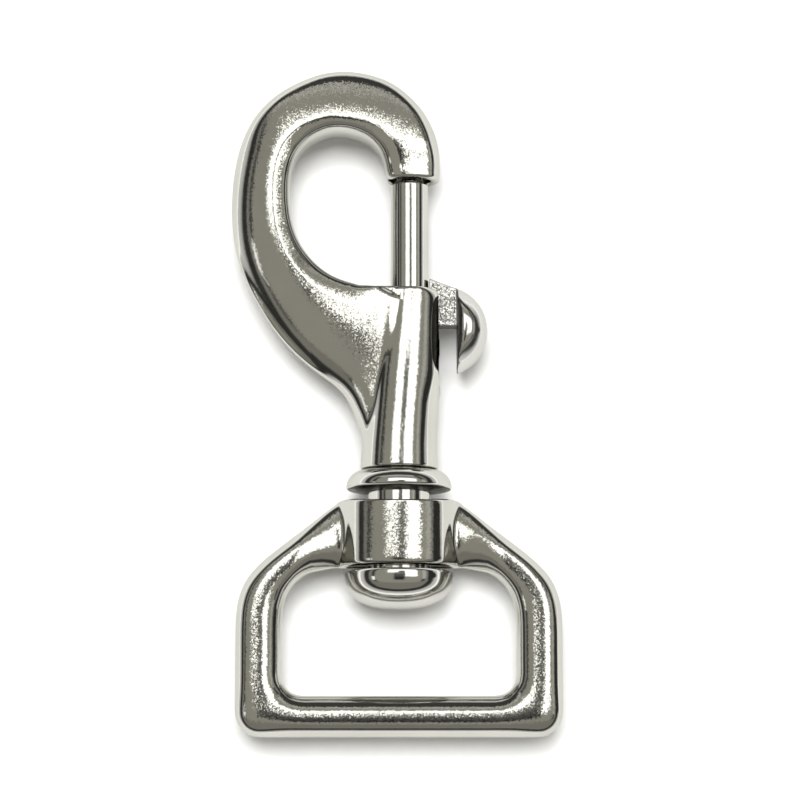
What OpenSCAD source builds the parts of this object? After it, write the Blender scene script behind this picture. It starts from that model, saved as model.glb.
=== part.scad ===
// Swivel snap hook with a square eye for 25 mm webbing.
// It lies flat: the swivel axis runs along Y, the hook end points to +Y,
// the webbing eye to -Y, and the rivet head and collar touch Z = 0.
// Millimetres.

/* [Webbing eye] */
// Clear width of the slot that takes the webbing
slot_w = 25; // [22:0.5:26]
// Outer width of the eye
eye_w = 34.9; // [33.5:0.1:36]
// Thickness of the eye's bars, front to back
eye_t = 5; // [4:0.1:5.6]
// Radius of the round boss that turns on the post
boss_r = 4.7; // [4.4:0.05:5]

/* [Swivel] */
// Radius of the post where the eye turns on it
post_r = 3.3; // [3.1:0.05:3.4]
// Radial running clearance between post and boss
post_gap = 0.05; // [0.02:0.01:0.1]
// Radius of the rivet head below the boss
head_r = 5.8; // [5.75:0.05:5.8]
// Radius of the collar above the boss
collar_r = 5.7; // [5.4:0.05:5.7]

/* [Hook] */
// Half thickness of the hook at its left side
hook_t = 3.4; // [3.1:0.05:3.6]
// Radius of the barrel at its foot
barrel_r = 4.25; // [4.1:0.05:4.4]
// Radius of the barrel at its shoulder
barrel_top_r = 3.5; // [3.3:0.05:3.6]

/* [Bolt] */
// Radius of the sliding bolt
bolt_r = 2.05; // [1.9:0.05:2.1]
// Radial running clearance of the bolt in the barrel
bolt_gap = 0.05; // [0.03:0.01:0.08]
// Radius of the thumb knob's head
knob_r = 4.6; // [4:0.05:4.8]
// Height of the thumb knob's domed head
knob_h = 3.2; // [2.6:0.1:3.6]
// Wire diameter of the bolt spring
wire_d = 0.45; // [0.35:0.05:0.5]

/* [Hidden] */
$fn = 64;
axis_h = 5.8;        // height of the swivel axis above the table
foot_y = -7.8;       // foot of the barrel
shoulder_y = 11.8;   // top of the barrel
bolt_x = 1.15;       // the bolt runs beside the swivel axis
boss_y0 = -18.3;     // lower end of the eye's boss
boss_y1 = -10.95;    // upper end of the eye's boss
seat_y = -9.1;       // shoulder of the post under the collar
post_top = -4.3;     // upper end of the post inside the barrel
stop_r = 1.5;        // half width of the thumb slot
stop_y = 3.0;        // centre of the slot's round lower end
stem_t = 2.4;        // thickness of the thumb stem
knob_y = 7.35;       // centre of the knob's head
knob_x = 6.3;        // inner face of the knob's head
stud_y = 9.9;        // centre of the stud that holds the knob
nose_y = 23.85;      // end face of the nose

steel = [0.62, 0.61, 0.57];
bright = [0.72, 0.71, 0.68];
cast = [0.55, 0.54, 0.5];

// Stations along the hook, from the nose round the bow and down the web into
// the barrel: [outer x, outer y, inner x, inner y, half thickness, ridge place
// from outer (0) to inner (1)].
HOOK = [
  [  3.70, 23.85,  -0.95, 23.85, 2.35, 0.50],
  [  4.10, 24.20,  -1.35, 24.30, 2.75, 0.50],
  [  4.40, 25.60,  -1.55, 25.50, 2.95, 0.52],
  [  4.40, 27.50,  -2.10, 26.95, 3.05, 0.56],
  [  3.80, 29.60,  -3.10, 28.05, 3.10, 0.60],
  [  2.20, 32.30,  -4.00, 28.65, 3.15, 0.63],
  [ -0.60, 34.80,  -5.20, 29.15, 3.20, 0.65],
  [ -4.00, 36.00,  -6.30, 29.20, 3.20, 0.66],
  [ -7.50, 36.10,  -7.50, 29.15, 3.20, 0.67],
  [-10.60, 35.15,  -8.60, 28.75, 3.25, 0.67],
  [-13.55, 33.45,  -9.60, 28.20, 3.30, 0.67],
  [-15.85, 31.00, -10.65, 27.15, 3.30, 0.67],
  [-17.25, 28.05, -11.35, 25.90, 3.35, 0.66],
  [-17.95, 24.90, -11.75, 24.30, 3.40, 0.66],
  [-18.25, 21.60, -11.85, 22.10, 3.40, 0.65],
  [-18.15, 18.60, -11.60, 19.40, 3.40, 0.64],
  [-17.65, 15.70, -10.90, 17.20, 3.40, 0.63],
  [-16.70, 12.90,  -9.80, 15.50, 3.40, 0.62],
  [-15.30, 10.20,  -8.30, 14.00, 3.40, 0.61],
  [-13.60,  7.50,  -6.50, 12.90, 3.40, 0.60],
  [-11.60,  5.15,  -4.10, 12.25, 3.40, 0.60],
  [ -9.60,  3.35,  -1.60, 11.80, 3.40, 0.60],
  [ -7.90,  2.10,  -0.30, 10.40, 3.35, 0.58],
  [ -6.70,  1.15,   0.00,  8.40, 3.20, 0.56],
  [ -5.80,  0.10,   0.10,  6.20, 3.00, 0.55],
  [ -5.15, -1.10,   0.30,  3.80, 2.75, 0.55],
  [ -4.60, -2.40,   0.30,  1.40, 2.50, 0.55],
  [ -4.20, -3.80,   0.20, -0.90, 2.30, 0.55],
  [ -4.00, -5.20,   0.00, -3.00, 2.10, 0.55]
];

// Half of the webbing eye, from the top middle down to the bottom middle, in
// the same form, with a seventh value: how square the section is.
ew = eye_w / 2;
sw = slot_w / 2;
et = eye_t / 2;
EYE_R = [
  [0,         -11.05, 0,         -18.15, et + 1.2, 0.5, 4.0],
  [3.0,       -11.05, 2.6,       -18.15, et + 1.2, 0.5, 4.0],
  [5.4,       -11.08, 5.0,       -18.30, et + 1.0, 0.5, 3.6],
  [7.0,       -11.72, 6.6,       -18.40, et + 0.3, 0.5, 3.0],
  [9.4,       -13.55, 7.9,       -18.55, et, 0.5, 2.6],
  [ew - 4.75, -16.10, sw - 2.8,  -19.00, et, 0.5, 2.6],
  [ew - 2.55, -17.95, sw - 1.5,  -19.95, et, 0.5, 2.6],
  [ew - 1.10, -19.70, sw - 0.65, -21.15, et, 0.5, 2.6],
  [ew - 0.30, -21.70, sw - 0.15, -22.60, et, 0.5, 2.6],
  [ew - 0.02, -24.00, sw,        -24.30, et, 0.5, 2.6],
  [ew,        -28.00, sw,        -27.50, et, 0.5, 2.6],
  [ew,        -33.20, sw,        -29.60, et, 0.5, 2.6],
  [ew - 0.25, -34.85, sw - 0.20, -30.65, et, 0.5, 2.6],
  [ew - 0.85, -35.65, sw - 0.65, -31.35, et, 0.5, 2.6],
  [ew - 1.65, -36.20, sw - 1.35, -31.80, et, 0.5, 2.6],
  [ew - 3.20, -36.40, sw - 2.40, -31.95, et, 0.5, 2.6],
  [8.0,       -36.40, 7.0,       -31.95, et, 0.5, 2.6],
  [0,         -36.40, 0,         -31.95, et, 0.5, 2.6]
];
EYE = concat(EYE_R, [for (i = [len(EYE_R) - 2 : -1 : 1])
  [for (j = [0 : 6]) EYE_R[i][j] * (j == 0 || j == 2 ? -1 : 1)]]);

function sgn(v) = v < 0 ? -1 : 1;
function spow(v, p) = sgn(v) * pow(abs(v), p);
// Smooth curve through stations a, b, c, d, at share t between b and c
function cr(a, b, c, d, t) = 0.5 * ((2 * b) + (c - a) * t
  + (2 * a - 5 * b + 4 * c - d) * t * t + (3 * b - a - 3 * c + d) * t * t * t);
function at(S, i, closed) = closed ? S[(i + len(S)) % len(S)] : S[min(max(i, 0), len(S) - 1)];
function refine(S, m, closed) = [
  for (i = [0 : len(S) - (closed ? 1 : 2)], j = [0 : m - 1])
    cr(at(S, i - 1, closed), at(S, i, closed), at(S, i + 1, closed), at(S, i + 2, closed), j / m),
  if (!closed) S[len(S) - 1]];
// One ring of points: steep flanks, a crowned face and a ridge off the middle
function ring(s, k) = [for (j = [0 : k - 1])
  let (n = s[6], a = 360 * j / k, u = spow(cos(a), 2 / n), w = spow(sin(a), 2 / n),
       f = s[5] + (u < 0 ? u * s[5] : u * (1 - s[5])))
  [s[0] + (s[2] - s[0]) * f, s[1] + (s[3] - s[1]) * f, s[4] * w]];

// A bar lofted along stations, open-ended or closed into a ring. The stations
// of an open bar run anticlockwise, and those of a closed one clockwise.
module bar(S, k, closed) {
  m = len(S);
  pts = [for (s = S) each ring(s, k)];
  side = [for (i = [0 : m - (closed ? 1 : 2)], j = [0 : k - 1])
    let (a = i * k + j, b = i * k + (j + 1) % k,
         c = ((i + 1) % m) * k + (j + 1) % k, d = ((i + 1) % m) * k + j)
    each closed ? [[a, b, c], [a, c, d]] : [[c, b, a], [d, c, a]]];
  ends = closed ? [] : [[for (j = [0 : k - 1]) j], [for (j = [k - 1 : -1 : 0]) (m - 1) * k + j]];
  polyhedron(points = pts, faces = concat(side, ends), convexity = 8);
}

// Points of an arc, for profiles of turned pieces
function arc(cx, cy, rx, ry, a0, a1, n) = [for (i = [0 : n])
  let (a = a0 + (a1 - a0) * i / n) [cx + rx * cos(a), cy + ry * sin(a)]];

// A turned piece about the Y axis from a profile of [radius, y]
module turned(p) rotate([-90, 0, 0]) rotate_extrude($fn = 96) polygon(p);
// A round rod along Y
module rod_y(x, r, y0, y1) translate([x, y0, 0]) rotate([-90, 0, 0]) cylinder(r = r, h = y1 - y0);
// A round rod along X
module rod_x(y, r, x0, x1) translate([x0, y, 0]) rotate([0, 90, 0]) cylinder(r = r, h = x1 - x0);

// Leaning, tapered barrel, cut flat at both ends
module barrel() {
  lean = atan2(bolt_x, shoulder_y - foot_y);
  intersection() {
    translate([0, foot_y, 0]) rotate([0, 0, -lean]) rotate([-90, 0, 0])
      translate([0, 0, -1]) cylinder(r1 = barrel_r, r2 = barrel_top_r, h = shoulder_y - foot_y + 2, $fn = 96);
    // flat foot, rounded shoulder
    translate([bolt_x, 0, 0]) turned(concat([[0, foot_y], [9, foot_y], [9, shoulder_y - 0.95]],
      arc(barrel_top_r + 0.05 - 0.95, shoulder_y - 0.95, 0.95, 0.95, 0, 90, 6), [[0, shoulder_y]]));
  }
}

module hook_body() {
  color(steel) translate([0, 0, axis_h]) difference() {
    union() {
      bar(refine([for (s = HOOK) [s[0], s[1], s[2], s[3], s[4] * hook_t / 3.4, s[5], 2.45]], 3, false), 24, false);
      barrel();
    }
    // bore for the bolt and its spring
    rod_y(bolt_x, bolt_r + bolt_gap, post_top, shoulder_y + 1);
    // bore for the post
    rod_y(0, 2.6, foot_y - 1, post_top);
    // thumb slot, open at the shoulder
    translate([bolt_x, stop_y, -stop_r]) cube([8, shoulder_y, 2 * stop_r]);
    rod_x(stop_y, stop_r, bolt_x, bolt_x + 8);
    // socket in the nose for the bolt's tip
    rod_y(bolt_x, bolt_r + 0.15, nose_y - 1, nose_y + 1.5);
  }
}

// Domed cup washer between the barrel and the eye
module collar_washer() {
  color(bright) translate([0, 0, axis_h]) turned(concat(
    [[2.63, seat_y], [2.63, foot_y - 0.05], [3.9, foot_y - 0.05]],
    arc(3.9, foot_y - 1.85, collar_r - 3.9, 1.75, 80, 4, 8),
    arc(collar_r - 0.42, foot_y - 1.82, 0.42, 0.4, 0, -80, 4),
    [[4.6, foot_y - 2.32], [3.44, foot_y - 2.42], [post_r + 0.06, foot_y - 2.34], [post_r + 0.06, seat_y]]));
}

// Post with the domed rivet head: turns in the boss, pressed into the barrel
module swivel_post() {
  color(bright) translate([0, 0, axis_h]) turned(concat(
    [[0, post_top], [2.45, post_top], [2.6, post_top - 0.15], [2.6, seat_y],
     [post_r, seat_y], [post_r, boss_y0 - 0.45], [head_r - 0.3, boss_y0 - 0.45]],
    arc(head_r - 0.3, boss_y0 - 0.75, 0.3, 0.3, 70, 10, 3),
    [for (i = [0 : 14]) let (q = sin(90 * i / 14))
      [head_r * pow(max(0, 1 - pow(q, 2.4)), 1 / 2.4), boss_y0 - 0.95 - 3.55 * q]]));
}

module square_eye() {
  color(steel) translate([0, 0, axis_h]) difference() {
    union() {
      bar(refine(EYE, 2, true), 20, true);
      turned(concat([[0, boss_y0]], arc(boss_r - 0.5, boss_y0 + 0.5, 0.5, 0.5, -90, 0, 4),
        arc(boss_r - 0.5, boss_y1 - 0.5, 0.5, 0.5, 0, 90, 4), [[0, boss_y1]]));
    }
    rod_y(0, post_r + post_gap, boss_y0 - 2, boss_y1 + 2);
  }
}

module bolt() {
  color(bright) translate([bolt_x, 0, axis_h]) difference() {
    turned(concat([[0, 2.2], [0.9, 2.2], [1.1, 2.4], [1.1, 5.0], [bolt_r - 0.2, 5.0], [bolt_r, 5.2]],
      [[bolt_r, 23.35], [1.62, 24.1], [1.5, 24.9]], arc(1.1, 24.9, 0.4, 0.4, 0, 90, 4), [[0, 25.3]]));
    rod_x(stud_y, 1.0, -1.3, 3);
  }
}

// Knob pressed into the bolt through the slot
module thumb_knob() {
  cap_r = (knob_r * knob_r + knob_h * knob_h) / (2 * knob_h);
  color(cast) translate([0, 0, axis_h]) union() {
    // stem: a flat plate that stands on the bolt, its top edge sloping
    difference() {
      union() {
        translate([0, 0, -stem_t / 2]) linear_extrude(stem_t)
          polygon([[bolt_x, 9.15], [bolt_x, 12.95], [3.2, 12.95], [knob_x + 0.4, 11.7], [knob_x + 0.4, 9.15]]);
        rod_x(9.15, stem_t / 2, bolt_x, knob_x + 0.4);
      }
      rod_y(bolt_x, bolt_r, 5, 15);
    }
    // stud into the bolt
    rod_x(stud_y, 1.0, bolt_x - 1.25, bolt_x + bolt_r + 0.5);
    // domed head
    translate([knob_x, knob_y, 0]) rotate([0, 90, 0]) rotate_extrude($fn = 96)
      polygon(concat([[0, 0], [knob_r - 0.15, 0]],
        arc(0, knob_h - cap_r, cap_r, cap_r, asin((cap_r - knob_h + 0.15) / cap_r), 90, 14)));
  }
}

// Compression spring, a coil between the post and the bolt
SPR_Y0 = post_top + wire_d / 2 + 0.02;
SPR_Y1 = 5.0 - wire_d / 2 - 0.02;
SPR_R = 1.62;
spr_turns = 6.5;
// height of the wire along the coil: closed end turns, open middle
function spr_y(t) = let (e = 0.75 / spr_turns, p = wire_d * 1.02)
  t < e ? SPR_Y0 + p * spr_turns * t
  : t > 1 - e ? SPR_Y1 - p * spr_turns * (1 - t)
  : let (s = (t - e) / (1 - 2 * e), a = SPR_Y0 + p * 0.75, b = SPR_Y1 - p * 0.75) a + (b - a) * s;
module bolt_spring() {
  n = 120;
  k = 8;
  pts = [for (i = [0 : n], j = [0 : k - 1])
    let (t = i / n, a = 360 * spr_turns * t, b = 360 * j / k,
         r = SPR_R + wire_d / 2 * cos(b), y = spr_y(t) + wire_d / 2 * sin(b))
    [bolt_x + r * cos(a), y, r * sin(a)]];
  side = [for (i = [0 : n - 1], j = [0 : k - 1])
    let (a = i * k + j, b = i * k + (j + 1) % k, c = (i + 1) * k + (j + 1) % k, d = (i + 1) * k + j)
    each [[a, b, c], [a, c, d]]];
  color("silver") translate([0, 0, axis_h])
    polyhedron(points = pts, faces = concat(side,
      [[for (j = [k - 1 : -1 : 0]) j], [for (j = [0 : k - 1]) n * k + j]]), convexity = 10);
}

hook_body();
collar_washer();
swivel_post();
square_eye();
bolt();
thumb_knob();
bolt_spring();
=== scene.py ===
import math

import bpy
import numpy as np
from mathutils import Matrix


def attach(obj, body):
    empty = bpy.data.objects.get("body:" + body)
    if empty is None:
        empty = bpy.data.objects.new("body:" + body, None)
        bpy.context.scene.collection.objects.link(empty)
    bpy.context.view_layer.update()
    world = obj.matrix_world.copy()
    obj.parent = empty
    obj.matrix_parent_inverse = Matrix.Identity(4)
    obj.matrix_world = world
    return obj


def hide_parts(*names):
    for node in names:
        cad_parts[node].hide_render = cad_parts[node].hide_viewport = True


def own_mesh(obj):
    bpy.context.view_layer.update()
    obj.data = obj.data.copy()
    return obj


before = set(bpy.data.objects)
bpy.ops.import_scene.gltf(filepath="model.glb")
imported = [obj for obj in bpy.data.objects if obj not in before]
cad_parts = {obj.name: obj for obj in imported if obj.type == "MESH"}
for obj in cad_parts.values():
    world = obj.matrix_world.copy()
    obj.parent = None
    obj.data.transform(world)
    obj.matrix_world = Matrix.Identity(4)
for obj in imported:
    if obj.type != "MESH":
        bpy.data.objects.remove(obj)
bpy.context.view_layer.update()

AXIS_H = 5.8             # height of the swivel axis above the table, mm
BOLT_X = 1.15            # the bolt runs beside the swivel axis
FOOT_Y, SHOULDER_Y = -7.8, 11.8
POST_TOP = -4.3
NOSE_Y = 23.85
STOP_R, STOP_Y = 1.5, 3.0
BOSS_Y0, BOSS_Y1 = -18.3, -10.95
MM = 0.001

# ------------------------------------------------------------------ curves
# Stations along the hook, from the nose round the bow and down the web:
# outer x, outer y, inner x, inner y (mm, on the parting plane).
HOOK = np.array([
    [4.35, 22.00, -0.70, 22.00], [4.42, 23.20, -1.05, 23.30], [4.46, 24.40, -1.42, 24.50],
    [4.46, 25.80, -1.62, 25.60], [4.36, 27.50, -2.15, 26.95], [3.80, 29.60, -3.15, 28.05],
    [2.25, 32.30, -4.05, 28.60], [-0.60, 34.80, -5.20, 29.00], [-4.00, 36.00, -6.30, 29.17],
    [-7.50, 36.10, -7.50, 29.12], [-10.60, 35.15, -8.60, 28.75], [-13.55, 33.45, -9.60, 28.20],
    [-15.85, 31.00, -10.65, 27.15], [-17.25, 28.05, -11.35, 25.90], [-17.95, 24.90, -11.75, 24.30],
    [-18.22, 21.60, -11.85, 22.10], [-18.12, 18.60, -11.60, 19.40], [-17.65, 15.70, -10.90, 17.20],
    [-16.70, 12.90, -9.80, 15.50], [-15.30, 10.20, -8.30, 14.00], [-13.60, 7.50, -6.50, 12.95],
    [-11.60, 5.15, -4.10, 12.25], [-9.60, 3.35, -1.60, 11.90], [-7.90, 2.10, 1.00, 11.80],
    [-6.70, 1.15, 3.50, 11.80], [-5.80, 0.10, 5.50, 11.80], [-5.15, -1.10, 7.50, 11.80],
    [-4.60, -2.40, 9.50, 11.80], [-4.20, -3.80, 11.5, 11.80], [-3.95, -5.20, 13.5, 11.80],
    [-3.60, -7.20, 15.5, 11.80], [-3.00, -9.50, 17.5, 11.80]])

# Half of the webbing eye, from the top middle down to the bottom middle.
EW, SW = 17.45, 12.5
EYE = np.array([
    [0, -10.95, 0, -18.30], [3.0, -10.95, 2.6, -18.30], [5.4, -11.00, 5.0, -18.33],
    [7.0, -11.70, 6.6, -18.40], [9.4, -13.60, 7.9, -18.55], [EW - 4.75, -16.12, SW - 2.8, -19.00],
    [EW - 2.55, -17.95, SW - 1.5, -19.95], [EW - 1.10, -19.70, SW - 0.65, -21.15],
    [EW - 0.30, -21.70, SW - 0.15, -22.60], [EW - 0.02, -24.00, SW, -24.30], [EW, -28.00, SW, -27.00],
    [EW, -31.00, SW, -28.60], [EW, -33.60, SW, -29.75], [EW - 0.21, -34.70, SW - 0.16, -30.60],
    [EW - 0.79, -35.60, SW - 0.63, -31.30], [EW - 1.66, -36.18, SW - 1.33, -31.77],
    [EW - 2.75, -36.40, SW - 2.20, -31.95], [11.5, -36.40, 8.8, -31.95], [6.0, -36.40, 5.0, -31.95],
    [0, -36.40, 0, -31.95]])


def smooth_curve(p, closed, m=14):
    """A smooth curve through the points p."""
    p = np.asarray(p, float)
    n = len(p)
    q = []
    for i in range(n if closed else n - 1):
        a, b, c, d = (p[(i + k) % n] if closed else p[min(max(i + k, 0), n - 1)] for k in (-1, 0, 1, 2))
        for t in np.arange(m) / m:
            q.append(0.5 * (2 * b + (c - a) * t + (2 * a - 5 * b + 4 * c - d) * t * t + (3 * b - a - 3 * c + d) * t ** 3))
    if not closed:
        q.append(p[-1])
    q = np.array(q)
    for _ in range(10):      # evens out the curvature between control points
        if closed:
            q = 0.25 * np.roll(q, 1, 0) + 0.5 * q + 0.25 * np.roll(q, -1, 0)
        else:
            q[1:-1] = 0.25 * q[:-2] + 0.5 * q[1:-1] + 0.25 * q[2:]
    return q


def blur(a, s):
    r = int(4 * s + 1)
    k = np.exp(-0.5 * (np.arange(-r, r + 1) / s) ** 2)
    k /= k.sum()
    for ax in (0, 1):
        b = np.pad(a, [(r, r) if i == ax else (0, 0) for i in (0, 1)], mode="edge")
        a = sum(k[j] * np.take(b, np.arange(a.shape[ax]) + j, axis=ax) for j in range(2 * r + 1))
    return a


class Field:
    """A smooth function of (x, y), held on a grid and read with a cubic B-spline."""

    def __init__(self, x0, y0, h, a):
        self.x0, self.y0, self.h, self.a = x0, y0, h, a

    def __call__(self, x, y):
        u = np.clip((x - self.x0) / self.h, 1.001, self.a.shape[0] - 3.001)
        v = np.clip((y - self.y0) / self.h, 1.001, self.a.shape[1] - 3.001)
        i, j = u.astype(int), v.astype(int)
        u, v = u - i, v - j

        def w(t):
            return ((1 - t) ** 3 / 6, (3 * t ** 3 - 6 * t ** 2 + 4) / 6, (-3 * t ** 3 + 3 * t ** 2 + 3 * t + 1) / 6, t ** 3 / 6)
        wu, wv = w(u), w(v)
        return sum(wu[p] * wv[q] * self.a[i + p - 1, j + q - 1] for p in range(4) for q in range(4))


def distance_field(x, y, c, closed, inside_left):
    """Signed distance to a curve on the grid x, y, and how far along the curve the nearest point is (0 to 1).
    Positive on the left of the curve if inside_left."""
    a = c
    b = np.roll(c, -1, 0) if closed else c[1:]
    a = a[:len(b)]
    d = b - a
    ll = (d ** 2).sum(1)
    X, Y = np.meshgrid(x, y, indexing="ij")
    P = np.stack([X.ravel(), Y.ravel()], 1)
    D = np.empty(len(P))
    S = np.empty(len(P))
    for k in range(0, len(P), 8000):
        p = P[k:k + 8000]
        px = p[:, 0:1] - a[None, :, 0]
        py = p[:, 1:2] - a[None, :, 1]
        t = np.clip((px * d[:, 0] + py * d[:, 1]) / ll, 0, 1)
        ex, ey = px - t * d[:, 0], py - t * d[:, 1]
        e = ex * ex + ey * ey
        m = e.argmin(1)
        r = np.arange(len(p))
        cross = d[m, 0] * py[r, m] - d[m, 1] * px[r, m]
        D[k:k + 8000] = np.sqrt(e[r, m]) * np.where(cross > 0, 1, -1) * (1 if inside_left else -1)
        S[k:k + 8000] = (m + t[r, m]) / len(b)
    return D.reshape(X.shape), S.reshape(X.shape)


def smax(a, b, k):
    """The larger of a and b, with the edge between them rounded over about k."""
    h = np.maximum(k - np.abs(a - b), 0) / k
    return np.maximum(a, b) + h ** 3 * k / 6


def smin(a, b, k):
    return -smax(-a, -b, k)


def bump(v, c, w):
    """1 at c, falling smoothly to 0 over about w."""
    return np.exp(-((v - c) / w) ** 2)


def step(v, a, b):
    t = np.clip((v - a) / (b - a), 0, 1)
    return t * t * (3 - 2 * t)


# ------------------------------------------------------- surface extraction
def skin(F, lo, hi, h, steps=5):
    """The surface F = 0 as vertices, quads and exact normals: a net over a grid, then each vertex is moved onto F = 0."""
    ax = [np.arange(lo[i], hi[i] + h, h) for i in range(3)]
    X, Y, Z = np.meshgrid(*ax, indexing="ij")
    V = F(X, Y, Z)
    n = V.shape
    cid = -np.ones([k - 1 for k in n], int)
    es, cells = [], []
    for d in range(3):
        sl0 = [slice(None)] * 3
        sl1 = [slice(None)] * 3
        sl0[d], sl1[d] = slice(0, -1), slice(1, None)
        A, B = V[tuple(sl0)], V[tuple(sl1)]
        I = np.argwhere((A < 0) != (B < 0))
        o = [k for k in range(3) if k != d]
        ok = (I[:, o[0]] > 0) & (I[:, o[1]] > 0) & (I[:, o[0]] < n[o[0]] - 1) & (I[:, o[1]] < n[o[1]] - 1)
        I = I[ok]
        a, b = A[tuple(I.T)], B[tuple(I.T)]
        P = np.stack([ax[k][I[:, k]] for k in range(3)], 1)
        P[:, d] += h * a / (a - b)
        quad = []
        for s, t in ((0, 0), (-1, 0), (-1, -1), (0, -1)):
            J = I.copy()
            J[:, o[0]] += s
            J[:, o[1]] += t
            quad.append(J)
        es.append((P, quad, a < 0, d))
    lin = lambda J: np.ravel_multi_index(tuple(J.T), cid.shape)
    used = np.unique(np.concatenate([lin(q) for _, quad, _, _ in es for q in quad]))
    idx = -np.ones(cid.size, int)
    idx[used] = np.arange(len(used))
    acc = np.zeros((len(used), 3))
    cnt = np.zeros(len(used))
    faces = []
    for P, quad, inside, d in es:
        q = [idx[lin(J)] for J in quad]
        for c in q:
            for k in range(3):
                acc[:, k] += np.bincount(c, P[:, k], len(used))
            cnt += np.bincount(c, minlength=len(used))
        f = np.stack(q, 1)
        flip = inside if d != 1 else ~inside
        f[~flip] = f[~flip][:, ::-1]
        faces.append(f)
    v = acc / cnt[:, None]
    faces = np.concatenate(faces)

    def grad(v):
        e = 0.02
        g = np.empty_like(v)
        for k in range(3):
            a, b = v.copy(), v.copy()
            a[:, k] += e
            b[:, k] -= e
            g[:, k] = (F(*a.T) - F(*b.T)) / (2 * e)
        return g
    for _ in range(steps):
        g = grad(v)
        m = np.maximum((g ** 2).sum(1), 0.05)
        s = -F(*v.T) / m
        mv = s[:, None] * g
        ln = np.linalg.norm(mv, axis=1)
        mv *= np.minimum(1, 0.5 * h / np.maximum(ln, 1e-9))[:, None]
        v = v + mv
    g = grad(v)
    return v, faces, g / np.maximum(np.linalg.norm(g, axis=1), 1e-9)[:, None]


def make(name, v, faces, normals=None):
    """A mesh object from millimetres about the swivel axis, in metres in the part's frame."""
    me = bpy.data.meshes.new(name)
    v = np.asarray(v, float) * MM
    v[:, 2] += AXIS_H * MM
    me.from_pydata(v.tolist(), [], [list(f) for f in faces])
    me.validate()
    me.polygons.foreach_set("use_smooth", np.ones(len(me.polygons), bool))
    if normals is not None:
        me.normals_split_custom_set_from_vertices(normals.tolist())
    me.update()
    o = bpy.data.objects.new(name, me)
    bpy.context.scene.collection.objects.link(o)
    return o


# --------------------------------------------------------------- hook body
gh = 0.1
hx = np.arange(-20.5, 7.0, gh)
hy = np.arange(-10.5, 39.0, gh)
outer = smooth_curve(HOOK[:, :2], False)
inner = smooth_curve(HOOK[:, 2:], False)
d_o, s_o = distance_field(hx, hy, outer, False, True)
d_i, s_i = distance_field(hx, hy, inner, False, False)
# how far along the hook: 0 at the nose, 1 at the barrel's foot
s_o = blur(s_o, 6)
D_O = Field(hx[0], hy[0], gh, blur(d_o, 2.0))
D_I = Field(hx[0], hy[0], gh, blur(d_i, 2.0))
S_O = Field(hx[0], hy[0], gh, s_o)


def barrel_axis(y):
    return 0.02 + 0.0395 * (y + 5.0 + np.sqrt((y + 5.0) ** 2 + 4.0))


def barrel_radius(y):
    t = (y - FOOT_Y) / (SHOULDER_Y - FOOT_Y)
    return 4.22 + (3.32 - 4.22) * t + 0.16 * bump(y, 4.0, 4.5)


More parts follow.
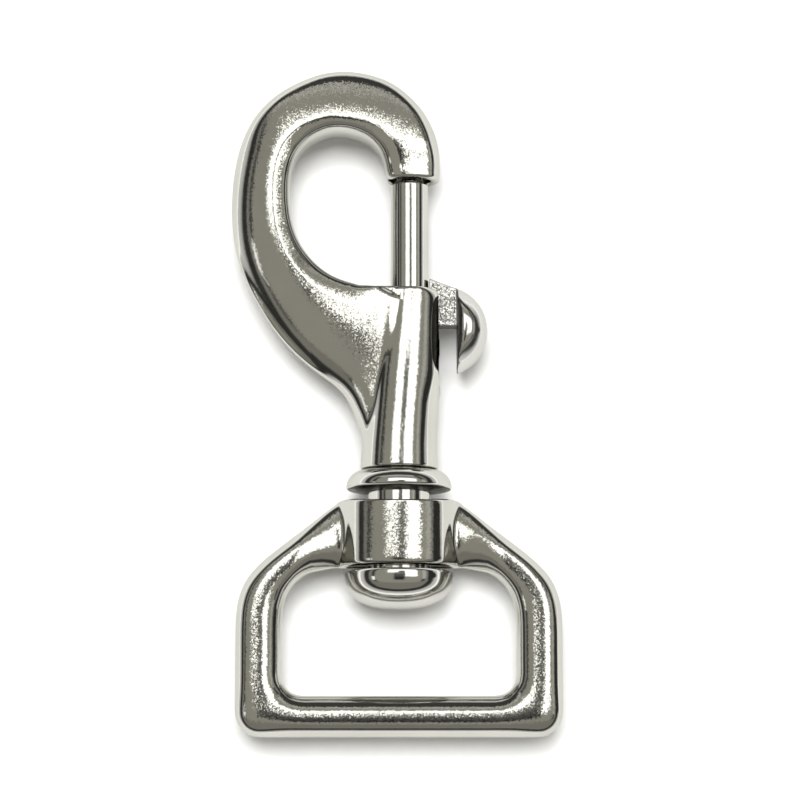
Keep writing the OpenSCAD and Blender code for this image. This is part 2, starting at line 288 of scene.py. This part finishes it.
def hook_shape(x, y, z):
    do, di, s = D_O(x, y), D_I(x, y), S_O(x, y)
    az = np.abs(z)
    # crown: highest along a ridge two thirds of the way in, an oval fall outwards and a flat bevel inwards
    W = do + di
    h = 3.25 - 0.45 * step(s, 0.48, 0.68) + 0.03 * np.maximum(x + 9.5, 0) * step(16 - y, 0, 3)
    xi = (0.71 + 0.10 * bump(s, 0.27, 0.09) - 0.015 * np.maximum(W - 7, 0)) * W - do
    wide = 0.29 * np.maximum(W - 6.6, 0) ** 2 * step(16 - y, 0, 3)
    ro, ri = 1.15 + wide, 0.22 + wide
    bow = 1 - step(s, 0.34, 0.44)
    fall = (1 - bow) * 0.42 * (np.sqrt(xi ** 2 + ro ** 2) - ro) + bow * (0.10 * (np.sqrt(xi ** 2 + 0.09) - 0.3) + 0.029 * xi ** 2)
    near = 1 - 0.8 * step(x, -5.0, -1.5) * step(16 - y, 0, 3)          # the bevel runs out before the barrel
    edge = 1 - step(x, -4.5, -2.0) * step(16 - y, 0, 3)                # so does the inner edge's own rounding
    zc = h - np.where(xi > 0, fall, 0.42 * near * (np.sqrt(xi ** 2 + ri ** 2) - ri))
    zc = zc - (0.135 - 0.03 * bow) * np.maximum(2.6 - 0.85 * bow - do, 0) ** 2 - 0.3 * edge * np.maximum(0.9 - di, 0) ** 2
    # the nose dips a little towards its end
    zc = zc - 0.45 * (1 - step(y, 25.0, 28.2)) * step(x, -3.5, -1.5) * step(y, 12, 18)
    zc = smax(zc, 0.8 + 0 * zc, 0.5)
    # the web comes down to the barrel's height where the two meet
    dx = x - barrel_axis(y)
    join = step(dx, -2.1, -0.6) * step(16 - y, 0, 3)
    top = np.sqrt(np.maximum(barrel_radius(y) ** 2 - dx ** 2, 0)) - 0.06
    zc = zc * (1 - join) + np.minimum(zc, top) * join
    A = (az - zc) * 0.9
    # flanks: nearly upright, drawn in a little away from the parting plane
    Bo = 0.5 * (az / 1.9) ** 2.2 - do
    Bi = 0.26 * edge * (az / 2.7) ** 2.6 - di - 0.6 * (1 - edge)
    F = smax(smax(A, Bo, 0.6), Bi, 0.5)
    low = y < SHOULDER_Y + 0.5
    F = smax(F, np.where((x > -3) & ~low, NOSE_Y - y, -5.0), 0.8)
    F = smax(F, np.where(low, x - barrel_axis(y) + 0.5, -5.0), 0.6)
    lip = 0.6 + 1.0 * step(dx, 0.8, 2.8)
    blend = 0.05 + (0.25 + 0.9 * step(y, 2.5, 8.0)) * (1 - step(dx, -2.2, -0.7))
    dx = dx / (1 + 0.08 * step(dx, 1.0, 3.4) * step(y, -1, 3))       # cheeks beside the thumb slot
    b = np.sqrt(dx ** 2 + z ** 2) - barrel_radius(y)
    b = smax(b, y - SHOULDER_Y - 1.5, 0.3)
    b = smax(b, FOOT_Y - y, 0.45)
    F = smin(F, b, blend)
    # one top edge for web and barrel
    yc = SHOULDER_Y + 0.047 * np.maximum(-1 - x, 0) ** 2 + 2.0 * (1 - step(x, -8.0, -4.5))
    F = smax(F, np.where((y < 17) & (x > -8), y - yc, -5.0), lip)
    # bore of the bolt, foot bore, thumb slot and the socket in the nose
    bore = np.sqrt((x - BOLT_X) ** 2 + z ** 2) - 2.12
    F = smax(F, -np.maximum(bore, np.maximum(POST_TOP - y, y - 18)), 0.3)
    F = np.maximum(F, -np.maximum(np.sqrt(x ** 2 + z ** 2) - 2.62, y - POST_TOP))
    end = STOP_Y - 0.55
    slot = smin(np.maximum(az - 1.8, end - y), np.sqrt((y - end) ** 2 + z ** 2) - 1.8, 0.05)
    F = smax(F, -np.maximum(slot, np.maximum(BOLT_X - x, y - 16)), 0.12)
    sock = np.sqrt((x - BOLT_X) ** 2 + z ** 2) - 2.28
    F = smax(F, -np.maximum(sock, np.maximum(y - NOSE_Y - 1.5, 18 - y)), 0.35)
    return F


Q = 0.165
v, f, n = skin(hook_shape, (-18.9, -8.4, -4.9), (5.3, 36.9, 4.9), Q)
hook = make("hook_casting", v, f, n)
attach(hook, "hook")
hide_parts("hook_body")

# -------------------------------------------------------------- square eye
ring = np.concatenate([EYE, (EYE * [-1, 1, -1, 1])[-2:0:-1]])
ex = np.arange(-19.5, 19.5, gh)
ey = np.arange(-38.5, -9.0, gh)
d_o, _ = distance_field(ex, ey, smooth_curve(ring[:, :2], True), True, False)
d_i, _ = distance_field(ex, ey, smooth_curve(ring[:, 2:], True), True, True)
E_O = Field(ex[0], ey[0], gh, blur(d_o, 1.6))
E_I = Field(ex[0], ey[0], gh, blur(d_i, 1.6))


def eye_shape(x, y, z):
    do, di = E_O(x, y), E_I(x, y)
    az = np.abs(z)
    ax = np.abs(x)
    w = 0.5 * (do + di)
    xi = 2.475 * (do - di) / np.maximum(do + di, 4.4) + 0.15 - 0.1 * step(ax, 9, 13)
    zc = 2.5 - 1.15 * step(-ax, -11.5, -6.0) * step(y, -24, -20.5) - 0.1 * xi ** 2 - 0.14 * np.maximum(np.abs(xi) - 0.45, 0) ** 2
    A = (az - zc) * 0.95
    Bo = 0.42 * (az / 1.9) ** 2.4 - do
    Bi = 0.40 * (az / 1.9) ** 2.4 - di
    F = smax(smax(A, Bo, 0.7), Bi, 0.5)
    # boss: a crowned block whose sides slope out into the arms
    R = 6.8
    top = np.sqrt(x ** 2 + (az + R - 4.75) ** 2) - R
    side = (ax - 4.95 + 0.75 * (az - 2.65)) * 0.8
    b = smax(top, side, 0.25)
    b = smax(b, 0.1 * az - do, 0.3)
    b = smax(b, y - BOSS_Y1, 1.0)
    b = smax(b, BOSS_Y0 - y, 1.0)
    F = smin(F, b, 0.8)
    F = smax(F, -np.maximum(np.sqrt(x ** 2 + z ** 2) - 3.36, -25 - y), 0.25)
    return F


v, f, n = skin(eye_shape, (-18.1, -37.1, -5.2), (18.1, -10.4, 5.2), Q)
eye = make("eye_casting", v, f, n)
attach(eye, "eye")
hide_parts("square_eye")

# ------------------------------------------------------------ turned pieces
def arc(cx, cy, rx, ry, a0, a1, n):
    a = np.radians(np.linspace(a0, a1, n + 1))
    return np.stack([cx + rx * np.cos(a), cy + ry * np.sin(a)], 1).tolist()


def lathe(name, prof, x0=0.0, k=128):
    """A closed turned piece about an axis along Y through x0, from a profile of (radius, y) that starts and ends on the axis or closes on itself."""
    p = np.array(prof, float)
    axis = [abs(q[0]) < 1e-9 for q in p]
    verts, rows = [], []
    a = 2 * np.pi * np.arange(k) / k
    for q, on in zip(p, axis):
        if on:
            rows.append([len(verts)])
            verts.append((x0, q[1], 0))
        else:
            rows.append(list(range(len(verts), len(verts) + k)))
            verts += [(x0 + q[0] * math.cos(t), q[1], q[0] * math.sin(t)) for t in a]
    faces = []
    m = len(p)
    for i in range(m - 1 if (axis[0] and axis[-1]) else m):
        A, B = rows[i], rows[(i + 1) % m]
        for j in range(k):
            l = (j + 1) % k
            if len(A) == 1 and len(B) == 1:
                continue
            if len(A) == 1:
                faces.append((A[0], B[l], B[j]))
            elif len(B) == 1:
                faces.append((A[j], A[l], B[0]))
            else:
                faces.append((A[j], A[l], B[l], B[j]))
    o = make(name, verts, faces)
    me = o.data
    # outward faces, then smooth shading with crisp edges at corners
    import bmesh
    bm = bmesh.new()
    bm.from_mesh(me)
    bmesh.ops.recalc_face_normals(bm, faces=bm.faces)
    for e in bm.edges:
        e.smooth = e.calc_face_angle(0) < math.radians(28)
    bm.to_mesh(me)
    bm.free()
    me.update()
    return o


SEAT_Y = -9.1
collar = lathe("collar_dome", [[2.63, SEAT_Y], [2.63, FOOT_Y - 0.05], [3.88, FOOT_Y - 0.05]]
               + arc(3.9, -9.65, 1.8, 1.75, 88, 4, 20)
               + arc(5.28, -9.62, 0.42, 0.40, 0, -80, 10)
               + [[4.6, -10.12], [3.9, -10.2], [3.44, -10.22], [3.36, -10.14], [3.36, SEAT_Y]])
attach(collar, "hook")
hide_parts("collar_washer")

post = lathe("rivet_post", [[0, POST_TOP], [2.45, POST_TOP], [2.6, POST_TOP - 0.15], [2.6, SEAT_Y], [3.3, SEAT_Y],
                            [3.3, BOSS_Y0 - 0.45], [5.45, BOSS_Y0 - 0.45]]
             + arc(5.45, BOSS_Y0 - 0.80, 0.35, 0.35, 80, 10, 6)
             + [[5.8 * max(0.0, 1 - q ** 2.4) ** (1 / 2.4), BOSS_Y0 - 0.95 - 3.55 * q] for q in np.sin(np.linspace(0, math.pi / 2, 44))])
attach(post, "hook")
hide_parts("swivel_post")

rod = lathe("bolt_rod", [[0, 2.2], [0.9, 2.2], [1.1, 2.4], [1.1, 5.0], [1.85, 5.0], [2.05, 5.2]]
            + [[2.05, 23.30]] + arc(1.95, 23.35, 0.10, 0.10, 0, 60, 4) + [[1.62, 24.1], [1.5, 24.9]] + arc(1.1, 24.9, 0.4, 0.4, 0, 90, 6) + [[0, 25.3]], x0=BOLT_X)
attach(rod, "bolt_and_knob")
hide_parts("bolt")


# -------------------------------------------------------------- thumb knob
KX, KY = 6.28, 7.35
# fall of the head's rim by distance from its outline: a slow start, a bevel of even slope, a steep edge
rim_d = np.linspace(0, 5, 501)
rim_s = np.where(rim_d > 1.4, 0.27 * np.maximum(2.9 - rim_d, 0) ** 2.2,
                 np.where(rim_d > 0.75, 0.67 + 0.15 * (1.4 - rim_d) / 0.65, 0.82 + 6 * np.maximum(0.75 - rim_d, 0) ** 1.5))
rim_fall = np.cumsum(rim_s[::-1])[::-1] * 0.01


def knob_shape(x, y, z):
    az = np.abs(z)
    # head: a crowned half round with a broad rounded rim
    d = 4.99 - np.sqrt((x - 4.61) ** 2 + (y - KY) ** 2)
    zc = 4.05 - np.interp(d, rim_d, rim_fall) - 0.05 * (y - KY) ** 2
    head = smax((az - zc) * 0.7, 0.35 * (az / 2.6) ** 2.4 - d, 0.5)
    head = smax(head, (az - 3.62 + 0.05 * (y - KY) ** 2 - 0.74 * (x - KX)) * 0.8, 0.25)      # bevel beside the stem
    head = smax(head, KX - x, 0.3)
    # stem: a flat plate with a sloping top edge
    plate = smax(az - 1.14 - 0.022 * (y - 10), 7.78 - y, 0.12)
    top = (y - 12.95) * 0.96 + np.maximum(x - 3.35, 0) * 0.35
    plate = smax(plate, top, 0.3)
    plate = smax(plate, 3.3 - x, 0.2)
    plate = np.maximum(plate, x - KX - 0.6)
    F = smin(head, plate, 0.2)
    foot = np.maximum(np.maximum(np.maximum(az - 1.15, 8.2 - y), y - 11.8), np.maximum(2.4 - x, x - 3.6))
    return np.minimum(F, foot)


v, f, n = skin(knob_shape, (2.0, 2.2, -5.0), (10.2, 14.0, 5.0), 0.11)
knob = make("thumb_stud", v, f, n)
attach(knob, "bolt_and_knob")
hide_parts("thumb_knob")

# ------------------------------------------------------------------ spring
WD, SR, TURNS = 0.45, 1.62, 6.5
Y0, Y1 = POST_TOP + WD / 2 + 0.02, 5.0 - WD / 2 - 0.02
tt = np.linspace(0, 1, 420)
e = 0.75 / TURNS
p = WD * 1.02
yy = np.where(tt < e, Y0 + p * TURNS * tt, np.where(tt > 1 - e, Y1 - p * TURNS * (1 - tt),
              Y0 + p * 0.75 + (Y1 - Y0 - 1.5 * p) * (tt - e) / (1 - 2 * e)))
k = np.ones(9) / 9
yy[4:-4] = np.convolve(yy, k, "valid")
aa = 2 * np.pi * TURNS * tt
path = np.stack([BOLT_X + SR * np.cos(aa), yy, SR * np.sin(aa)], 1)
tan = np.gradient(path, axis=0)
tan /= np.linalg.norm(tan, axis=1)[:, None]
rad = np.stack([np.cos(aa), 0 * aa, np.sin(aa)], 1)
bi = np.cross(tan, rad)
bi /= np.linalg.norm(bi, axis=1)[:, None]
rad = np.cross(bi, tan)
sv, sf = [], []
K = 14
for i in range(len(path)):
    for j in range(K):
        b = 2 * math.pi * j / K
        sv.append(path[i] + WD / 2 * (rad[i] * math.cos(b) + bi[i] * math.sin(b)))
for i in range(len(path) - 1):
    for j in range(K):
        l = (j + 1) % K
        sf.append((i * K + j, (i + 1) * K + j, (i + 1) * K + l, i * K + l))
sf.append(tuple(range(K)))
sf.append(tuple((len(path) - 1) * K + j for j in reversed(range(K))))
spring = make("coil_spring", np.array(sv), sf)
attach(spring, "hook")
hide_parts("bolt_spring")
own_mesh(spring)


# --------------------------------------------------------------- materials
def metal(name, color, rough, grain, grain_h, flank=0.25, calm=None):
    """Plated metal: the fine grain of the casting under the plate, strongest on the broad faces and polished away
    towards the flanks, with a little wander in tone and gloss."""
    m = bpy.data.materials.new(name)
    m.use_nodes = True
    nt = m.node_tree
    nt.nodes.clear()
    N = nt.nodes.new
    L = nt.links.new
    out = N("ShaderNodeOutputMaterial")
    bs = N("ShaderNodeBsdfPrincipled")
    L(bs.outputs[0], out.inputs[0])
    bs.inputs["Metallic"].default_value = 1.0
    bs.inputs["Specular Tint"].default_value = (0.72, 0.72, 0.70, 1)
    co = N("ShaderNodeTexCoord")

    def noise(scale, detail=2.0, r=0.5):
        t = N("ShaderNodeTexNoise")
        t.inputs["Scale"].default_value = scale
        t.inputs["Detail"].default_value = detail
        t.inputs["Roughness"].default_value = r
        L(co.outputs["Object"], t.inputs["Vector"])
        return t

    def remap(sock, f0, f1, t0, t1, kind="LINEAR"):
        r = N("ShaderNodeMapRange")
        r.interpolation_type = kind
        for k, v in (("From Min", f0), ("From Max", f1), ("To Min", t0), ("To Max", t1)):
            r.inputs[k].default_value = v
        L(sock, r.inputs["Value"])
        return r.outputs["Result"]
    broad = noise(160, 3)
    ramp = N("ShaderNodeValToRGB")
    ramp.color_ramp.elements[0].position = 0.3
    ramp.color_ramp.elements[1].position = 0.7
    ramp.color_ramp.elements[0].color = (*[c * 0.95 for c in color], 1)
    ramp.color_ramp.elements[1].color = (*[min(1, c * 1.04) for c in color], 1)
    L(broad.outputs["Fac"], ramp.inputs["Fac"])
    L(ramp.outputs["Color"], bs.inputs["Base Color"])
    L(remap(noise(900, 3).outputs["Fac"], 0.3, 0.7, rough * 0.8, rough * 1.25), bs.inputs["Roughness"])
    sp = N("ShaderNodeSeparateXYZ")
    L(co.outputs["Normal"], sp.inputs[0])
    up = N("ShaderNodeMath")
    up.operation = "ABSOLUTE"
    L(sp.outputs["Z"], up.inputs[0])
    mask = remap(up.outputs[0], 0.80, 0.96, flank, 1.0, "SMOOTHSTEP")
    wav = noise(300, 1)
    b1 = N("ShaderNodeBump")
    b1.inputs["Strength"].default_value = 1.0
    b1.inputs["Distance"].default_value = 0.000010
    L(wav.outputs["Fac"], b1.inputs["Height"])

    def vec(op, a, b):
        v = N("ShaderNodeVectorMath")
        v.operation = op
        for i, q in enumerate((a, b)):
            if isinstance(q, tuple):
                v.inputs[i].default_value = q
            elif q is not None:
                L(q, v.inputs[i])
        return v
    # two sets of cells, each cell leaning its own way
    cells = []
    for scale in (grain, grain * 1.7):
        c = N("ShaderNodeTexVoronoi")
        c.inputs["Scale"].default_value = scale
        L(co.outputs["Object"], c.inputs["Vector"])
        cells.append(c.outputs["Color"])
    lean = vec("SUBTRACT", vec("ADD", cells[0], cells[1]).outputs[0], (1.0, 1.0, 1.0))
    amt = N("ShaderNodeMath")
    amt.operation = "MULTIPLY"
    amt.inputs[1].default_value = grain_h
    if calm:                 # the grain is finer where x lies beyond this edge, unless y is past the other
        px = N("ShaderNodeSeparateXYZ")
        L(co.outputs["Object"], px.inputs[0])
        x0, x1, less, y0 = calm
        cx = remap(px.outputs["X"], x0, x1, 1.0, less, "SMOOTHSTEP")
        cy = remap(px.outputs["Y"], y0, y0 + 0.002, 0.0, 0.9, "SMOOTHSTEP")
        mx = N("ShaderNodeMath")
        mx.operation = "MAXIMUM"
        L(cx, mx.inputs[0])
        L(cy, mx.inputs[1])
        mm = N("ShaderNodeMath")
        mm.operation = "MULTIPLY"
        L(mask, mm.inputs[0])
        L(mx.outputs[0], mm.inputs[1])
        mask = mm.outputs[0]
    L(mask, amt.inputs[0])
    sc = N("ShaderNodeVectorMath")
    sc.operation = "SCALE"
    L(lean.outputs[0], sc.inputs[0])
    L(amt.outputs[0], sc.inputs["Scale"])
    nn = vec("NORMALIZE", vec("ADD", b1.outputs["Normal"], sc.outputs[0]).outputs[0], None)
    L(nn.outputs[0], bs.inputs["Normal"])
    return m


NICKEL = (0.52, 0.515, 0.475)
cast = metal("nickel_over_casting", NICKEL, 0.085, 7500, 0.075, 0.1, (-0.0022, -0.0006, 0.5, 0.014))
cast2 = metal("nickel_over_eye_casting", NICKEL, 0.085, 7500, 0.075, 0.1)
turned = metal("nickel_over_turning", (0.54, 0.535, 0.50), 0.08, 7500, 0.014, 0.3)
rough = metal("nickel_over_raw_casting", (0.56, 0.555, 0.53), 0.13, 6500, 0.11, 0.1, (0.0060, 0.0066, 0.1, 0.1))
wire = metal("spring_steel", (0.5, 0.5, 0.5), 0.25, 3000, 0.02)
# painted shade: a near-black metal that stands in for the shadow on undersides and in recesses
shade = metal("nickel_painted_shade", (0.10, 0.10, 0.095), 0.3, 6000, 0.03)
for o, m in ((hook, cast), (eye, cast2), (collar, turned), (post, turned), (rod, turned), (knob, rough), (spring, wire)):
    o.data.materials.clear()
    o.data.materials.append(m)
collar.data.materials.append(shade)         # painted shade: the collar's underside gets the dark material for the shadow beneath it
for q in collar.data.polygons:
    if q.normal.y < -0.8:
        q.material_index = 1
knob.data.materials.append(shade)           # painted shade: the stem's lower side and the bevel beside the stem get the dark material for the shadow there
for q in knob.data.polygons:
    if q.normal.y < -0.6 and q.center.y > 0.007 and q.center.x < 0.0064:
        q.material_index = 1
    if q.normal.x < -0.4 and 0.0061 < q.center.x < 0.0070:
        q.material_index = 1
hook.data.materials.append(shade)           # painted shade: the walls of the thumb slot get the dark material for the shade inside the slot
for q in hook.data.polygons:
    if abs(q.center.z - AXIS_H * MM) < 0.00192 and q.center.x > 0.0023 and 0.0003 < q.center.y < 0.0119 and abs(q.normal.z) > 0.6:
        q.material_index = 1
for nname, m in (("hook_body", cast), ("square_eye", cast), ("collar_washer", turned), ("swivel_post", turned),
                 ("bolt", turned), ("thumb_knob", rough), ("bolt_spring", wire)):
    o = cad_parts[nname]
    o.data.materials.clear()
    o.data.materials.append(m)

# ---------------------------------------------------------------- the stage
fl = bpy.data.meshes.new("floor")
s = 1.6
fl.from_pydata([(-s, -s, 0), (s, -s, 0), (s, s, 0), (-s, s, 0)], [], [(0, 1, 2, 3)])
floor = bpy.data.objects.new("floor", fl)
bpy.context.scene.collection.objects.link(floor)
fm = bpy.data.materials.new("floor_white")
fm.use_nodes = True
nt = fm.node_tree
fb = nt.nodes["Principled BSDF"]
fb.inputs["Roughness"].default_value = 0.6
fb.inputs["Specular IOR Level"].default_value = 0.1
fco = nt.nodes.new("ShaderNodeTexCoord")
fl_len = nt.nodes.new("ShaderNodeVectorMath")
fl_len.operation = "LENGTH"
nt.links.new(fco.outputs["Object"], fl_len.inputs[0])
# painted light: the floor glows, from none near the object to full strength further out, so the far floor stays bright
# while shadows near the object stay dark
floor_glow = nt.nodes.new("ShaderNodeMapRange")
floor_glow.interpolation_type = "SMOOTHSTEP"
for k_, v_ in (("From Min", 0.07), ("From Max", 0.30), ("To Min", 0.0), ("To Max", 0.8)):
    floor_glow.inputs[k_].default_value = v_
nt.links.new(fl_len.outputs["Value"], floor_glow.inputs["Value"])
paper = nt.nodes.new("ShaderNodeTexNoise")
paper.inputs["Scale"].default_value = 700
nt.links.new(fco.outputs["Object"], paper.inputs["Vector"])
pm = nt.nodes.new("ShaderNodeMapRange")
pm.inputs["To Min"].default_value = 0.86
pm.inputs["To Max"].default_value = 0.90
nt.links.new(paper.outputs["Fac"], pm.inputs["Value"])
nt.links.new(pm.outputs["Result"], fb.inputs["Base Color"])
fb.inputs["Emission Color"].default_value = (1, 1, 1, 1)
nt.links.new(floor_glow.outputs["Result"], fb.inputs["Emission Strength"])
fl.materials.append(fm)


def area(name, loc, aim, sx, sy, power, color=(1, 1, 1), glossy=True, diffuse=True):
    ld = bpy.data.lights.new(name, "AREA")
    ld.shape = "RECTANGLE"
    ld.size, ld.size_y = sx, sy
    ld.energy = power
    ld.color = color
    o = bpy.data.objects.new(name, ld)
    bpy.context.scene.collection.objects.link(o)
    from mathutils import Vector
    o.location = loc
    d = Vector(aim) - Vector(loc)
    o.rotation_euler = d.to_track_quat("-Z", "Y").to_euler()
    o.visible_glossy = glossy
    o.visible_diffuse = diffuse
    o.visible_camera = False
    return o


def box_at(name, ax0, ax1, ay0, ay1, dist, radiance, color=(1, 1, 1)):
    """A softbox overhead that spans the angles ax0..ax1 (towards +X) and ay0..ay1 (towards +Y) from straight up."""
    X0, X1 = (dist * math.tan(math.radians(a)) for a in (ax0, ax1))
    Yv0, Yv1 = (dist * math.tan(math.radians(a)) for a in (ay0, ay1))
    sx, sy = X1 - X0, Yv1 - Yv0
    cx, cy = (X0 + X1) / 2, (Yv0 + Yv1) / 2
    return area(name, (cx, cy, dist), (cx, cy, 0), sx, sy, radiance * math.pi * sx * sy, color)


# soft key that lights the floor
area("key", (-0.04, 0.17, 0.965), (0, 0, 0), 0.42, 0.42, 10.2, glossy=False)

# The room: olive-grey ceiling, a dark band above the horizon, two soft overhead panels and the shade of the
# camera, all by direction: ax is the angle from straight up towards +X, ay towards +Y.
world = bpy.data.worlds.new("studio")
bpy.context.scene.world = world
world.use_nodes = True
nt = world.node_tree
nt.nodes.clear()
N, L = nt.nodes.new, nt.links.new
wo = N("ShaderNodeOutputWorld")
bg = N("ShaderNodeBackground")
L(bg.outputs[0], wo.inputs[0])
tc = N("ShaderNodeTexCoord")
sep = N("ShaderNodeSeparateXYZ")
L(tc.outputs["Generated"], sep.inputs[0])


def math_node(op, a, b=None):
    n = N("ShaderNodeMath")
    n.operation = op
    for i, v in enumerate((a, b)):
        if v is None:
            continue
        if isinstance(v, (int, float)):
            n.inputs[i].default_value = v
        else:
            L(v, n.inputs[i])
    return n.outputs[0]


def soft_step(v, a, b):
    """0 below a, 1 above b."""
    n = N("ShaderNodeMapRange")
    n.interpolation_type = "SMOOTHSTEP"
    n.inputs["From Min"].default_value = a
    n.inputs["From Max"].default_value = b
    L(v, n.inputs["Value"])
    return n.outputs["Result"]


DEG = 180 / math.pi
ax_ = math_node("MULTIPLY", math_node("ARCTAN2", sep.outputs["X"], sep.outputs["Z"]), DEG)
ay_ = math_node("MULTIPLY", math_node("ARCTAN2", sep.outputs["Y"], sep.outputs["Z"]), DEG)
zen = math_node("MULTIPLY", math_node("ARCCOSINE", sep.outputs["Z"]), DEG)


def window(x0, x1, y0, y1, e, ey=None):
    ey = ey or e
    m = math_node("SUBTRACT", soft_step(ax_, x0 - e, x0 + e), soft_step(ax_, x1 - e, x1 + e))
    k = math_node("SUBTRACT", soft_step(ay_, y0 - ey, y0 + ey), soft_step(ay_, y1 - ey, y1 + ey))
    return math_node("MULTIPLY", m, k)


ramp = N("ShaderNodeValToRGB")
cr = ramp.color_ramp
OLIVE = (0.43, 0.42, 0.375)
stops = [(0, OLIVE), (50, OLIVE), (55, (0.07, 0.07, 0.065)), (58, (0.07, 0.07, 0.065)), (62, (0.32, 0.32, 0.30)),
         (65, (0.32, 0.32, 0.30)), (69, (0.05, 0.05, 0.045)), (77, (0.04, 0.04, 0.038)), (82, (0.75, 0.75, 0.75)), (90, (1.0, 1.0, 1.0))]
while len(cr.elements) < len(stops):
    cr.elements.new(0.5)
for el, (a, c) in zip(cr.elements, stops):
    el.position = a / 180
    el.color = (*c, 1)
L(math_node("DIVIDE", zen, 180.0), ramp.inputs["Fac"])
cur = ramp.outputs["Color"]


def over(mask, color):
    global cur
    n = N("ShaderNodeMix")
    n.data_type = "RGBA"
    L(mask, n.inputs[0])
    L(cur, n.inputs[6])
    n.inputs[7].default_value = (*color, 1)
    cur = n.outputs[2]


over(window(-60, 60, -64, -34, 5), (0.30, 0.29, 0.26))          # towards the camera's side the room is plain
over(window(-50, 40, 46, 53, 2), (0.75, 0.74, 0.70))            # far wall above the dark band
over(window(-55, 55, 57, 80, 2), (0.07, 0.07, 0.065))            # shelves under the wall
over(window(51, 60, -20, 32, 2), (0.66, 0.65, 0.60))            # pale wall on the right
over(window(65, 86, -30, 40, 2), (0.04, 0.04, 0.038))
over(window(-11, 12, -20, 3, 4), (0.12, 0.12, 0.115))           # camera and hands
over(window(-9, 11, -19, -8, 3), (0.04, 0.04, 0.04))
over(window(-60, -53, -26, -6, 2), (1.7, 1.7, 1.65))            # small far lamp
over(window(-23.5, 39.0, 5.2, 29, 2.1), (2.5, 2.5, 2.45))       # overhead panel
over(window(14.0, 39.0, -7, 10, 1.6), (2.6, 2.6, 2.55))         # its right part reaches further back
over(window(-1.0, 13.0, 1, 15.0, 1.5), (0.26, 0.26, 0.24))      # shade of the camera against it
L(cur, bg.inputs["Color"])
bg.inputs["Strength"].default_value = 1.0

cam_d = bpy.data.cameras.new("camera")
cam = bpy.data.objects.new("camera", cam_d)
bpy.context.scene.collection.objects.link(cam)
bpy.context.scene.camera = cam
D, KPX, TILT = 2835.0, 0.108, math.radians(8.5)
cam_d.sensor_width = 36.0
cam_d.lens = D / 800 * 36.0
cam_d.clip_start = 0.01
dist = D * KPX * MM
cam.location = (0.108 * MM, -0.17 * MM - dist * math.sin(TILT), AXIS_H * MM + dist * math.cos(TILT))
cam.rotation_euler = (TILT, 0, 0)
bpy.context.scene.view_settings.view_transform = "Standard"
bpy.context.scene.view_settings.look = "None"
